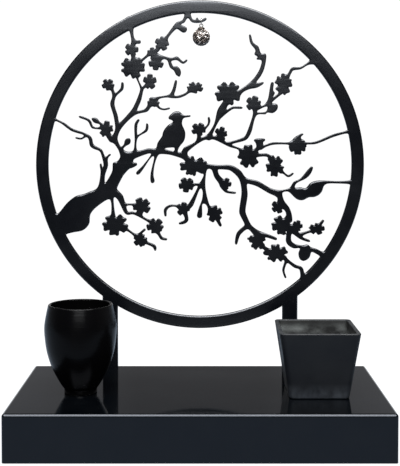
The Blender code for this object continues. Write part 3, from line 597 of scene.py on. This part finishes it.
black_glaze, tree, shader = new_material("satin black glaze", GLAZE, 0.26, ior=1.17)
pooling = noise(tree, 22.0, 4.0, stretch=(1.0, 1.0, 0.35))
tree.links.new(spread(tree, pooling, 0.20, 0.30), shader.inputs["Roughness"])
tint = blend_colours(tree, spread(tree, pooling, 0.0, 1.0), GLAZE, GLAZE_POOLED)
tree.links.new(tint, shader.inputs["Base Color"])
turning = noise(tree, 90.0, 2.0, stretch=(0.15, 0.15, 4.0))
over = relief(tree, shader, turning, THROWING_RINGS)
relief(tree, shader, noise(tree, 700.0, 2.0), GLAZE_GRAIN, over)


def through(points, steps):
    """A smooth line through the points, by Catmull and Rom's rule."""
    ends = [points[0], *points, points[-1]]
    line = []
    for index in range(1, len(ends) - 2):
        before, start, end, after = (np.array(ends[index + shift]) for shift in (-1, 0, 1, 2))
        for step in range(steps):
            t = step / steps
            bend = 2 * before - 5 * start + 4 * end - after
            twist = 3 * start - before - 3 * end + after
            line.append(tuple(start + 0.5 * t * (end - before + t * (bend + t * twist))))
    line.append(tuple(points[-1]))
    return line


low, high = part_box("vase")
vase_middle = ((low.x + high.x) / 2, (low.y + high.y) / 2)
belly_radius = (high.y - low.y) / 2
lip = VASE_WALL / 3
vase_height = high.z - low.z - lip
swell = belly_radius - VASE_FOOT_RADIUS
outside = [(VASE_FOOT_RADIUS + out * swell, up * vase_height) for up, out in VASE_SIDE]
shoulder_radius = (1 - VASE_SHOULDER_WIDTH) * VASE_MOUTH_RADIUS + VASE_SHOULDER_WIDTH * belly_radius
outside.append((shoulder_radius, VASE_SHOULDER_HEIGHT * vase_height))
outside.append((VASE_MOUTH_RADIUS, vase_height))
outside = through(outside, VASE_ROWS)
inside = [(radius - VASE_WALL, height) for radius, height in outside if height > 3 * VASE_WALL]
rim_middle = VASE_MOUTH_RADIUS - VASE_WALL / 2
rim = [
    (rim_middle + VASE_WALL / 2 * math.cos(angle), vase_height + lip * math.sin(angle))
    for angle in np.linspace(0.0, math.pi, VASE_RIM_ROWS)
]
foot_ring = VASE_FOOT_RADIUS - VASE_FOOT_RING
profile = [(0.0, VASE_FOOT_DEPTH), (foot_ring - VASE_FOOT_DEPTH, VASE_FOOT_DEPTH)]
profile += [(foot_ring, 0.0), (VASE_FOOT_RADIUS - 1.5 * VASE_FOOT_EDGE, 0.0)]
profile.append((VASE_FOOT_RADIUS - VASE_FOOT_EDGE / 4, VASE_FOOT_EDGE))
profile += [point for point in outside if VASE_FOOT_EDGE < point[1] < vase_height]
profile += rim
profile += [point for point in reversed(inside) if point[1] < vase_height]
bowl_floor = 2 * VASE_WALL
bowl_radius = inside[0][0]
profile.append((VASE_BOWL_TURN * bowl_radius, bowl_floor + VASE_BOWL_RISE))
profile += [(VASE_BOWL_FLAT * bowl_radius, bowl_floor), (0.0, bowl_floor)]
vase = show("turned_vase", mesh_of(turned(profile, VASE_STEPS), "turned_vase"), black_glaze)
vase.data.transform(Matrix.Translation((*vase_middle, low.z)))
smooth_shade(vase, 50.0)
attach(vase, "root")
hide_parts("vase")

# The pot is slip cast and stained charcoal, with four tapering sides, soft corners and a
# flat rim, whose top is painted lighter in blotches as a painted highlight where the light
# falls. Scuffs show low down outside, and chalky water marks below the rim inside.
POT_FOOT_SHARE = 0.0644 / 0.0858
POT_CORNER_RADIUS = 0.006
POT_CORNER_LEAST = 0.0002
POT_WALL = 0.0042
POT_FOOT_EDGE = 0.0009
POT_FOOT_EASE = 0.0002
POT_FOOT_RISE = 0.0004
POT_SIDE_FROM = 0.0012
POT_FLOOR_EDGE = 0.003
POT_FLOOR_EASE = 0.0008
POT_FLOOR_RISE = 0.001
POT_RIM_ROUND = 0.0009
POT_CORNER_STEPS = 10
POT_LEVELS = 22
POT_RIM_LEVELS = 5
CHARCOAL = (0.0016, 0.0023, 0.0038)
CHARCOAL_CLOUDED = (0.0031, 0.0040, 0.0056)
CHARCOAL_SCUFFED = (0.026, 0.030, 0.036)
# A painted highlight on the rim's top: its lighter colour, and how far below the top it starts and
# is full.
CHARCOAL_RIM_HIGHLIGHT = (0.016, 0.017, 0.018)
SCUFFS_FROM, SCUFFS_TO = 0.002, 0.017
RIM_HIGHLIGHT_FROM, RIM_HIGHLIGHT_TO = 0.0015, 0.0003
CLAY = (0.0012, 0.0014, 0.0014)
CHALK = (0.052, 0.056, 0.055)
CHALK_LOWEST, CHALK_LOW = 0.032, 0.013
CHALK_HIGH, CHALK_HIGHEST = 0.010, 0.003
CLAY_GRAIN_OUTSIDE = 0.00006
CLAY_GRAIN_INSIDE = 0.00008


def place_in(tree, space="Object"):
    """The X, Y and Z of each point, in the object's own space unless another is named."""
    place = tree.nodes.new("ShaderNodeTexCoord")
    split = tree.nodes.new("ShaderNodeSeparateXYZ")
    tree.links.new(place.outputs[space], split.inputs["Vector"])
    return split.outputs


def worked_out(tree, operation, *values):
    """The result of an operation such as MULTIPLY or MAXIMUM on these sockets."""
    made = tree.nodes.new("ShaderNodeMath")
    made.operation = operation
    for socket, value in zip(made.inputs, values):
        tree.links.new(value, socket)
    return made.outputs["Value"]


pot_low, pot_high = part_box("square_pot")
charcoal, tree, shader = new_material("charcoal stoneware", CHARCOAL, 0.50, ior=1.29)
up = place_in(tree)["Z"]
clouds = noise(tree, 26.0, 5.0)
body = blend_colours(tree, spread(tree, clouds, 0.0, 1.0), CHARCOAL, CHARCOAL_CLOUDED)
low_down = spread(tree, up, 1.0, 0.0, pot_low.z + SCUFFS_FROM, pot_low.z + SCUFFS_TO)
scratches = noise(tree, 120.0, 6.0, stretch=(1.0, 1.0, 0.6), offset=(5.0, 2.0, 7.0))
scuffs = worked_out(tree, "MULTIPLY", low_down, spread(tree, scratches, 0.1, 1.0, 0.34, 0.70))
scuffed = blend_colours(tree, scuffs, body, CHARCOAL_SCUFFED)
# Painted highlight: the top of the rim is painted lighter, in blotches, where the light falls on
# it.
rim_top_band = spread(tree, up, 0.0, 1.0, pot_high.z - RIM_HIGHLIGHT_FROM, pot_high.z - RIM_HIGHLIGHT_TO)
highlight_blotches = spread(tree, noise(tree, 130.0, 5.0, offset=(2.0, 9.0, 1.0)), 0.35, 1.0, 0.35, 0.65)
painted_rim_highlight = worked_out(tree, "MULTIPLY", rim_top_band, highlight_blotches)
tree.links.new(blend_colours(tree, painted_rim_highlight, scuffed, CHARCOAL_RIM_HIGHLIGHT), shader.inputs["Base Color"])
tree.links.new(spread(tree, clouds, 0.46, 0.66), shader.inputs["Roughness"])
relief(tree, shader, noise(tree, 420.0, 4.0), CLAY_GRAIN_OUTSIDE)

stained, tree, shader = new_material("water marked stoneware", CLAY, 0.7, ior=1.25)
up = place_in(tree)["Z"]
patches = noise(tree, 42.0, 6.0, stretch=(1.0, 1.0, 1.8), offset=(4.0, 0.0, 2.0))
chalk = spread(tree, patches, 0.0, 1.0, 0.38, 0.72)
above = spread(tree, up, 0.0, 1.0, pot_high.z - CHALK_LOWEST, pot_high.z - CHALK_LOW)
below = spread(tree, up, 1.0, 0.15, pot_high.z - CHALK_HIGH, pot_high.z - CHALK_HIGHEST)
chalk = worked_out(tree, "MULTIPLY", chalk, above)
chalk = worked_out(tree, "MULTIPLY", chalk, below)
tree.links.new(blend_colours(tree, chalk, CLAY, CHALK), shader.inputs["Base Color"])
relief(tree, shader, noise(tree, 300.0, 4.0), CLAY_GRAIN_INSIDE)


def rounded_square(half, radius, steps):
    """The points round a square with round corners, with its centre at the origin."""
    line = []
    for quarter in range(4):
        turn = math.radians(90.0 * quarter)
        corner = Matrix.Rotation(turn, 2) @ Vector((half - radius, half - radius))
        for step in range(steps + 1):
            angle = turn + math.radians(90.0 * step / steps)
            line.append((corner.x + radius * math.cos(angle), corner.y + radius * math.sin(angle)))
    return line


def lofted(levels, inside_from):
    """A closed shape through rounded squares, each with its half width, corner radius and
    height. The first and the last are closed flat. From level inside_from on, the faces
    take the second material."""
    shape = bmesh.new()
    rows = []
    for half, radius, height in levels:
        points = rounded_square(half, max(radius, POT_CORNER_LEAST), POT_CORNER_STEPS)
        rows.append([shape.verts.new((x, y, height)) for x, y in points])
    for number, (first, second) in enumerate(zip(rows, rows[1:])):
        for face in strip(shape, first, second):
            face.material_index = int(number >= inside_from)
    shape.faces.new(rows[0])
    shape.faces.new(rows[-1]).material_index = 1
    return shape


pot_height = pot_high.z - pot_low.z
half_rim = (pot_high.x - pot_low.x) / 2
half_foot = half_rim * POT_FOOT_SHARE


def half_at(height):
    """Half the pot's outer width at this height above its foot."""
    return half_foot + (half_rim - half_foot) * height / pot_height


levels = [
    (half_foot - POT_FOOT_EDGE, POT_CORNER_RADIUS - POT_FOOT_EDGE, 0.0),
    (half_foot - POT_FOOT_EASE, POT_CORNER_RADIUS, POT_FOOT_RISE),
]
below_rim = pot_height - POT_RIM_ROUND
for height in np.linspace(POT_SIDE_FROM, below_rim, POT_LEVELS):
    levels.append((half_at(height), POT_CORNER_RADIUS, height))
for angle in np.linspace(0.0, math.pi / 2, POT_RIM_LEVELS)[1:]:
    out = POT_RIM_ROUND * (1 - math.cos(angle))
    height = pot_height - POT_RIM_ROUND * (1 - math.sin(angle))
    levels.append((half_rim - out, POT_CORNER_RADIUS - out, height))
inner_rim = half_rim - POT_WALL
inner_corner = POT_CORNER_RADIUS - POT_WALL / 2
for angle in np.linspace(math.pi / 2, math.pi, POT_RIM_LEVELS)[:-1]:
    out = POT_RIM_ROUND * (1 + math.cos(angle))
    height = pot_height - POT_RIM_ROUND * (1 - math.sin(angle))
    levels.append((inner_rim + out, inner_corner + out, height))
inside_from = len(levels)
for height in np.linspace(below_rim, POT_WALL + POT_FLOOR_EDGE, POT_LEVELS):
    levels.append((half_at(height) - POT_WALL, inner_corner, height))
half_floor = half_at(POT_WALL) - POT_WALL
levels.append((half_floor - POT_FLOOR_EASE, inner_corner, POT_WALL + POT_FLOOR_RISE))
levels.append((half_floor - POT_FLOOR_EDGE, inner_corner, POT_WALL))
pot = show("cast_pot", mesh_of(lofted(levels, inside_from), "cast_pot"), charcoal)
pot.data.materials.append(stained)
pot_middle = (pot_low + pot_high) / 2
pot.data.transform(Matrix.Translation((pot_middle.x, pot_middle.y, pot_low.z)))
smooth_shade(pot, 40.0)
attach(pot, "root")
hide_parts("square_pot")

# The charm is a silver ball set all over with small clear and smoky stones, each held by
# beads of metal. A cap and an eye are soldered on its top.
BALL_RADIUS = 0.0105
SETTING_BELOW = 0.0007
STONE_COUNT = 235
STONE_RADIUS = 0.00105
STONE_SIDES = 8
STONE_SUNK = 0.00062
STONE_TILT = 0.24
# A stone's rows from its point up: a share of its radius, a height and a turn, as a share
# of one side.
STONE_ROWS = (
    (0.10, -0.0006, 0.0), (1.0, 0.0, 0.0), (1.0, 0.00010, 0.0), (0.80, 0.00036, 0.5),
    (0.52, 0.00050, 0.0),
)
STONE_TONES = (
    (0.50, 0.47, 0.45), (0.13, 0.11, 0.10), (0.085, 0.070, 0.062), (0.085, 0.070, 0.062),
    (0.035, 0.028, 0.024), (0.010, 0.008, 0.007),
)
STONE_SEED = 11
BEAD_RADIUS = 0.00024
BEAD_SUNK = 0.00045
BEAD_ASIDE = 0.118
BEAD_TURNS = (0.0, 2.1, 4.2)
CAP_RADIUS = 0.0045
CAP_HEIGHT = 0.0014
CAP_SUNK = 0.0004
CAP_STEPS = 40
CAP_MARGIN = 0.04
SILVER = (0.034, 0.029, 0.025)
TARNISH = (0.009, 0.0075, 0.006)

silver, tree, shader = new_material("oxidised silver", SILVER, 0.38, metallic=1.0)
tarnish = spread(tree, noise(tree, 420.0, 4.0), 0.0, 1.0, 0.35, 0.62)
tree.links.new(blend_colours(tree, tarnish, SILVER, TARNISH), shader.inputs["Base Color"])
stones_finish, tree, shader = new_material("cut stones", STONE_TONES[0], 0.10, ior=1.4)
tones = tree.nodes.new("ShaderNodeAttribute")
tones.attribute_name = "stone_tone"
tree.links.new(tones.outputs["Color"], shader.inputs["Base Color"])

low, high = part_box("charm_ball")
ball_x = (low.x + high.x) / 2
ball_y = (low.y + high.y) / 2
ball_centre = Vector((ball_x, ball_y, low.z + BALL_RADIUS))


def facing(normal):
    """The turn that takes +Z to this direction."""
    return Vector((0.0, 0.0, 1.0)).rotation_difference(normal).to_matrix().to_4x4()


shape = bmesh.new()
bmesh.ops.create_uvsphere(
    shape, u_segments=48, v_segments=24, radius=BALL_RADIUS - SETTING_BELOW,
)
bmesh.ops.translate(shape, vec=ball_centre, verts=shape.verts)
golden = math.pi * (3.0 - math.sqrt(5.0))
places = []
for number in range(STONE_COUNT):
    up = 1.0 - 2.0 * (number + 0.5) / STONE_COUNT
    around = golden * number
    flat = math.sqrt(1.0 - up * up)
    places.append(Vector((flat * math.cos(around), flat * math.sin(around), up)))
cap_share = math.sqrt(1.0 - (CAP_RADIUS / BALL_RADIUS) ** 2)
stone_places = [normal for normal in places if normal.z < cap_share - CAP_MARGIN]
for normal in stone_places:
    for turn in BEAD_TURNS:
        side = normal.orthogonal().normalized()
        side.rotate(Matrix.Rotation(turn, 3, normal))
        aside = (normal + side * BEAD_ASIDE).normalized()
        bead = ball_centre + aside * (BALL_RADIUS - BEAD_SUNK)
        bmesh.ops.create_icosphere(
            shape, subdivisions=1, radius=BEAD_RADIUS, matrix=Matrix.Translation(bead),
        )
cap_top = low.z + 2 * BALL_RADIUS + CAP_HEIGHT
cap_bottom = low.z + BALL_RADIUS + math.sqrt(BALL_RADIUS**2 - CAP_RADIUS**2) - CAP_SUNK
cap_profile = [
    (0.0, cap_bottom), (CAP_RADIUS - 0.0002, cap_bottom), (CAP_RADIUS, cap_bottom + 0.0003),
    (CAP_RADIUS * 0.97, cap_bottom + 0.0008), (CAP_RADIUS * 0.80, cap_top - 0.0006),
    (CAP_RADIUS * 0.45, cap_top - 0.0001), (0.0, cap_top),
]
cap = turned(cap_profile, CAP_STEPS)
bmesh.ops.translate(cap, vec=(ball_x, ball_y, 0.0), verts=cap.verts)
shape.from_mesh(mesh_of(cap, "charm_cap"))
setting = show("charm_setting", mesh_of(shape, "charm_setting"), silver)
smooth_shade(setting, 40.0)

draw = random.Random(STONE_SEED)
shape = bmesh.new()
tone_layer = shape.verts.layers.float_color.new("stone_tone")
for normal in stone_places:
    tone = draw.choice(STONE_TONES)
    seat = ball_centre + normal * (BALL_RADIUS - STONE_SUNK)
    tilt = Vector([draw.uniform(-STONE_TILT, STONE_TILT) for axis in range(3)])
    spin = Matrix.Rotation(draw.uniform(0.0, math.pi), 4, "Z")
    turn = Matrix.Translation(seat) @ facing((normal + tilt).normalized()) @ spin
    made = []
    for share, height, shift in STONE_ROWS:
        radius = STONE_RADIUS * share
        row = []
        for side in range(STONE_SIDES):
            angle = 2 * math.pi * (side + shift) / STONE_SIDES
            point = turn @ Vector((radius * math.cos(angle), radius * math.sin(angle), height))
            vertex = shape.verts.new(point)
            vertex[tone_layer] = (*tone, 1.0)
            row.append(vertex)
        made.append(row)
    for first, second in zip(made, made[1:]):
        strip(shape, first, second)
    shape.faces.new(made[0])
    shape.faces.new(made[-1])
stones = show("charm_stones", mesh_of(shape, "charm_stones"), stones_finish)
for piece in (setting, stones):
    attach(piece, "root")
    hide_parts("charm_ball")

# The eye on the cap and the ring on the twig are bent from wire of one thickness, the eye
# from silver and the ring from bright steel, and closed with a soldered joint.
WIRE = 0.0009
WIRE_SIDES = 14
HOOP_STEPS = 56
EYE_RADIUS = 0.0015
BRIGHT_WIRE = (0.32, 0.31, 0.30)

wire_steel, tree, shader = new_material("bright wire", BRIGHT_WIRE, 0.16, metallic=1.0)
tree.links.new(spread(tree, noise(tree, 900.0, 3.0), 0.10, 0.24), shader.inputs["Roughness"])


def wire_hoop(name, radius, centre, faces_front, finish, node=None):
    """A hoop of wire whose axis lies along Y where it faces the front, or else along X."""
    shape = bmesh.new()
    rows = []
    for step in range(HOOP_STEPS):
        angle = 2 * math.pi * step / HOOP_STEPS
        row = []
        for side in range(WIRE_SIDES):
            tilt = 2 * math.pi * side / WIRE_SIDES
            reach = radius + WIRE / 2 * math.cos(tilt)
            across = WIRE / 2 * math.sin(tilt)
            out = reach * math.cos(angle)
            up = reach * math.sin(angle)
            offset = (out, across, up) if faces_front else (across, out, up)
            row.append(shape.verts.new(Vector(centre) + Vector(offset)))
        rows.append(row)
    for first, second in zip(rows, rows[1:] + rows[:1]):
        strip(shape, first, second)
    hoop = show(name, mesh_of(shape, name), finish)
    hoop.data.shade_smooth()
    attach(hoop, "root")
    if node:
        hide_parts(node)


hang_low, hang_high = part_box("charm_ring")
hang_centre = (hang_low + hang_high) / 2
hang_radius = (hang_high.z - hang_low.z - WIRE) / 2
wire_hoop("hanging_ring", hang_radius, hang_centre, False, wire_steel, "charm_ring")
eye_radius = EYE_RADIUS + WIRE / 2
eye_centre = (ball_x, ball_y, high.z - eye_radius - WIRE / 2)
wire_hoop("charm_eye", eye_radius, eye_centre, True, silver)

# The photographer's table is a wide floor. Floor and room are white where they are seen
# directly, as in the photograph. In what the object mirrors they are dim and a little
# blue, because its black surfaces show a dark room above and in front of them.
FLOOR_RADIUS = 9.0
FLOOR_BELOW = 0.0002
FLOOR_GREY = (0.04, 0.04, 0.04)
FLOOR_WHITE = (1.02, 1.02, 1.02)
FLOOR_MIRRORED = (0.66, 0.83, 1.05)
GLOW_IN_FRONT, GLOW_BEHIND = 0.030, 0.66
GLOW_FROM, GLOW_TO = -0.36, -0.26

floor_finish, tree, shader = new_material("pale floor", FLOOR_GREY, 0.9)
shader.inputs["Specular IOR Level"].default_value = 0.0
seen = tree.nodes.new("ShaderNodeLightPath").outputs["Is Camera Ray"]
glow = spread(tree, place_in(tree)["Y"], GLOW_IN_FRONT, GLOW_BEHIND, GLOW_FROM, GLOW_TO)
tree.links.new(worked_out(tree, "MAXIMUM", glow, seen), shader.inputs["Emission Strength"])
floor_tone = blend_colours(tree, seen, FLOOR_MIRRORED, FLOOR_WHITE)
tree.links.new(floor_tone, shader.inputs["Emission Color"])
shape = bmesh.new()
bmesh.ops.create_circle(shape, cap_ends=True, segments=96, radius=FLOOR_RADIUS)
floor = show("floor", mesh_of(shape, "floor"), floor_finish)
floor.location.z = cad_box[0].z - FLOOR_BELOW

# Two soft boxes light the set, one high above it and a wide one in front. Behind them the
# room is dark overhead and in front, dim to the sides, and white low down behind.
TOP_LIGHT_PLACE = (0.0, -0.62, 1.60)
TOP_LIGHT_AIM = (0.0, 0.0, 0.1)
TOP_LIGHT_SIZE = (1.8, 0.7)
TOP_LIGHT_POWER = 130.0
TOP_LIGHT_COLOUR = (1.0, 1.0, 1.0)
FRONT_LIGHT_PLACE = (0.0, -3.0, 1.63)
FRONT_LIGHT_AIM = (0.0, 0.0, 0.4)
FRONT_LIGHT_SIZE = (1.8, 1.2)
FRONT_LIGHT_POWER = 74.0
FRONT_LIGHT_COLOUR = (0.96, 0.98, 1.0)
DIM = (0.144, 0.144, 0.150)
DIM_SIDES = (0.275, 0.280, 0.295)
DARK = (0.010, 0.0105, 0.012)
WHITE = (1.05, 1.05, 1.05)
# Each part of the room fades between these two values of a direction's X, Y or Z.
SIDES = (0.06, 0.22)
OVERHEAD = (0.28, 0.42)
IN_FRONT = (-0.5, 0.3)
LOW_DOWN = (0.125, 0.215)
BEHIND = (0.78, 0.93)


def soft_light(name, place, aim, size, power, colour):
    """A soft box at a place, turned to face what it aims at."""
    lamp = bpy.data.lights.new(name, "AREA")
    lamp.shape = "RECTANGLE"
    lamp.size, lamp.size_y = size
    lamp.energy = power
    lamp.color = colour
    obj = bpy.data.objects.new(name, lamp)
    obj.location = place
    obj.rotation_euler = (Vector(aim) - Vector(place)).to_track_quat("-Z", "Y").to_euler()
    bpy.context.scene.collection.objects.link(obj)


soft_light(
    "top light", TOP_LIGHT_PLACE, TOP_LIGHT_AIM, TOP_LIGHT_SIZE, TOP_LIGHT_POWER,
    TOP_LIGHT_COLOUR,
)
soft_light(
    "front light", FRONT_LIGHT_PLACE, FRONT_LIGHT_AIM, FRONT_LIGHT_SIZE, FRONT_LIGHT_POWER,
    FRONT_LIGHT_COLOUR,
)

world = bpy.data.worlds.new("studio")
bpy.context.scene.world = world
world.use_nodes = True
tree = world.node_tree
away = place_in(tree, "Generated")
to_the_sides = spread(tree, worked_out(tree, "ABSOLUTE", away["X"]), 0.0, 1.0, *SIDES)
overhead = spread(tree, away["Z"], 0.0, 1.0, *OVERHEAD)
in_front = spread(tree, away["Y"], 1.0, 0.0, *IN_FRONT)
low_down = spread(tree, away["Z"], 1.0, 0.0, *LOW_DOWN)
behind = spread(tree, away["Y"], 0.0, 1.0, *BEHIND)
room_tone = blend_colours(tree, to_the_sides, DIM, DIM_SIDES)
room_tone = blend_colours(tree, overhead, room_tone, DARK)
room_tone = blend_colours(tree, in_front, room_tone, DARK)
white_wall = worked_out(tree, "MULTIPLY", low_down, behind)
mirrored_tone = blend_colours(tree, white_wall, room_tone, WHITE)
seen = tree.nodes.new("ShaderNodeLightPath").outputs["Is Camera Ray"]
background = tree.nodes["Background"]
tree.links.new(blend_colours(tree, seen, mirrored_tone, WHITE), background.inputs["Color"])
background.inputs["Strength"].default_value = 1.0
bpy.context.scene.view_settings.view_transform = "Standard"

# The camera stands a little above the top of the box and looks slightly down. Its place,
# its lens and its shift are worked out from the lines of the box in the photograph.
CAMERA_PLACE = (0.0, -1.109, 0.3363)
CAMERA_PITCH = 1.93
CAMERA_LENS = 77.96
CAMERA_SHIFT = -0.15

camera_data = bpy.data.cameras.new("camera")
camera_data.lens = CAMERA_LENS
camera_data.sensor_width = 36.0
camera_data.shift_y = CAMERA_SHIFT
camera = bpy.data.objects.new("camera", camera_data)
camera.location = CAMERA_PLACE
camera.rotation_euler = (math.radians(90.0 - CAMERA_PITCH), 0.0, 0.0)
bpy.context.scene.collection.objects.link(camera)
bpy.context.scene.camera = camera
